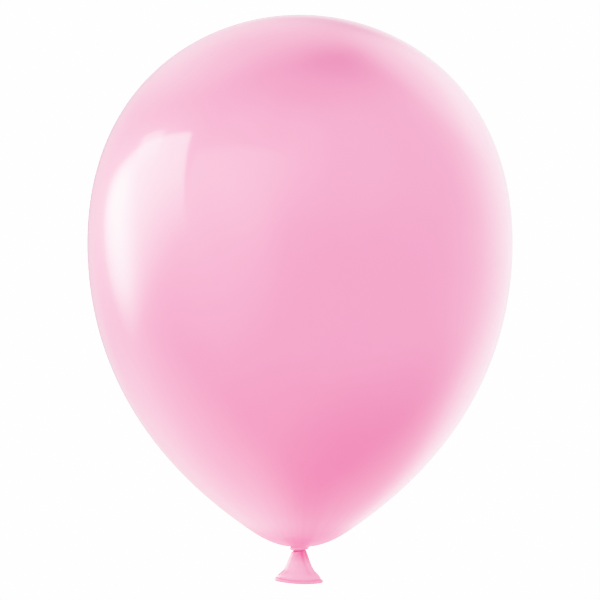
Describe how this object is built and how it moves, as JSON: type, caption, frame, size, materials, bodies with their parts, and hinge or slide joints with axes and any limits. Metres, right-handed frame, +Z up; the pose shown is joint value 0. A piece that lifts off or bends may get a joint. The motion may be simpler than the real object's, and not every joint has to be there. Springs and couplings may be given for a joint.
{
  "type": "latex balloon",
  "caption": "Blown-up round latex balloon, teardrop body on a knotted neck, with a short flared tail that ends in a rolled lip.",
  "frame": {"origin": "centre of the knot, on the balloon's axis", "axes": "+Z up along the balloon's axis from the knot to the crown; +X right, along the wide way of the flattened mouth; -Y the front"},
  "size_m": [0.28, 0.28, 0.3741],
  "materials": {
    "stretched_latex": "gloss, slightly see-through",
    "gathered_latex": "satin",
    "lip_latex": "satin"
  },
  "bodies": {
    "balloon": {"envelope": "stretched_latex", "neck_throat": "gathered_latex", "knot_wrap": "gathered_latex"},
    "strand": {"neck_strand": "gathered_latex"},
    "tail": {"tail_skirt": "gathered_latex", "rolled_lip": "lip_latex"}
  },
  "joints": [
    {"name": "tail_twist", "type": "hinge", "parent": "balloon", "child": "strand", "pos_m": [0, 0, 0], "axis": [0, 0, 1], "range_deg": [-60, 60], "stiffness_Nm_per_rad": 0.0004},
    {"name": "tail_bend", "type": "hinge", "parent": "strand", "child": "tail", "pos_m": [0, 0, -0.004], "axis": [1, 0, 0], "range_deg": [-35, 35], "stiffness_Nm_per_rad": 0.001}
  ]
}
